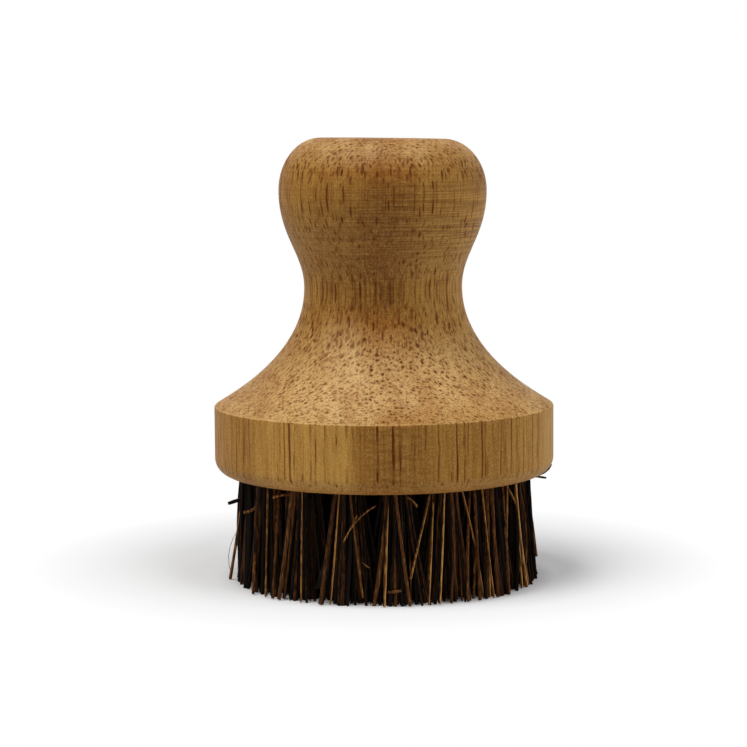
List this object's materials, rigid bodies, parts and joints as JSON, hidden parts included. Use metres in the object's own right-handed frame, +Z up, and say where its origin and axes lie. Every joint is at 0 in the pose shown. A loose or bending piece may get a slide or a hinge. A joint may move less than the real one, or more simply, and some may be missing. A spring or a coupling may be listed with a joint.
{
  "type": "ash brush",
  "caption": "Palm brush for sweeping out ash: a turned wooden knob handle that flares into a round base, set underneath with stiff dark palm-fibre tufts.",
  "frame": {"origin": "on the brush's axis, on the plane of the trimmed fibre tips that it stands on", "axes": "+Z up along the turning axis from the tips to the knob, +X to the right and -Y towards the viewer as the picture shows it"},
  "size_m": [0.075, 0.075, 0.0974],
  "materials": {
    "turned_wood": "satin oiled, open-pored hardwood with the grain along the axis",
    "palm_fibre": "stiff natural fibre, dark brown to near black, slight sheen along each strand",
    "staple_wire": "drawn wire"
  },
  "bodies": {
    "root": {"handle": "turned_wood", "centre_tuft": "palm_fibre", "inner_tuft_ring": "palm_fibre", "middle_tuft_ring": "palm_fibre", "outer_tuft_ring": "palm_fibre", "centre_staple_1": "staple_wire", "inner_staple_1": "staple_wire", "inner_staple_2": "staple_wire", "inner_staple_3": "staple_wire", "inner_staple_4": "staple_wire", "inner_staple_5": "staple_wire", "inner_staple_6": "staple_wire", "middle_staple_1": "staple_wire", "middle_staple_2": "staple_wire", "middle_staple_3": "staple_wire", "middle_staple_4": "staple_wire", "middle_staple_5": "staple_wire", "middle_staple_6": "staple_wire", "middle_staple_7": "staple_wire", "middle_staple_8": "staple_wire", "middle_staple_9": "staple_wire", "middle_staple_10": "staple_wire", "middle_staple_11": "staple_wire", "middle_staple_12": "staple_wire", "outer_staple_1": "staple_wire", "outer_staple_2": "staple_wire", "outer_staple_3": "staple_wire", "outer_staple_4": "staple_wire", "outer_staple_5": "staple_wire", "outer_staple_6": "staple_wire", "outer_staple_7": "staple_wire", "outer_staple_8": "staple_wire", "outer_staple_9": "staple_wire", "outer_staple_10": "staple_wire", "outer_staple_11": "staple_wire", "outer_staple_12": "staple_wire", "outer_staple_13": "staple_wire", "outer_staple_14": "staple_wire", "outer_staple_15": "staple_wire", "outer_staple_16": "staple_wire", "outer_staple_17": "staple_wire", "outer_staple_18": "staple_wire"}
  },
  "joints": []
}
